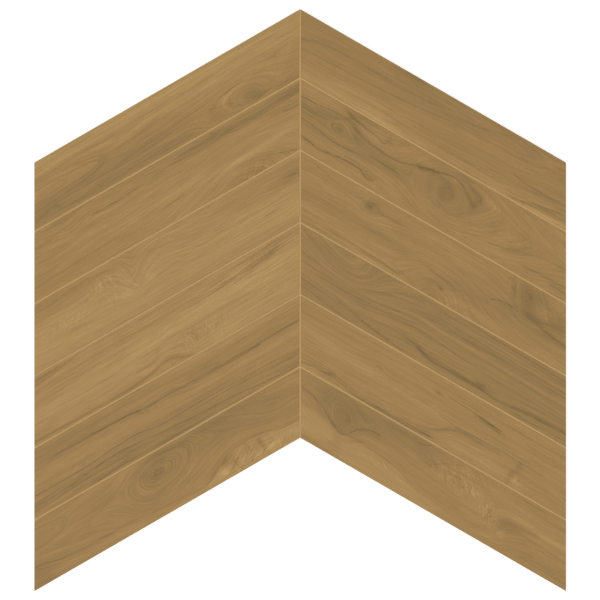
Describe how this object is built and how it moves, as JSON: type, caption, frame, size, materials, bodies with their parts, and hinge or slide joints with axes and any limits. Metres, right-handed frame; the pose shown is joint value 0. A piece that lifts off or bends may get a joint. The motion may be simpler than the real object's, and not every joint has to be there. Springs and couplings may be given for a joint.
{
  "type": "chevron porcelain tile",
  "caption": "Wood-look porcelain tile cut as a chevron block, with tan pressed joints between its printed planks and a keyed back.",
  "frame": {"origin": "middle of the tile's outline on the plane of its back, where it rests", "axes": "+Z out of the printed face, +Y along the centre joint to the chevron's point, +X across the tile to the right as seen from the face"},
  "size_m": [0.6, 0.657, 0.009],
  "materials": {
    "printed_glaze": "matte"
  },
  "bodies": {
    "root": {"chevron_tile": "printed_glaze"}
  },
  "joints": []
}
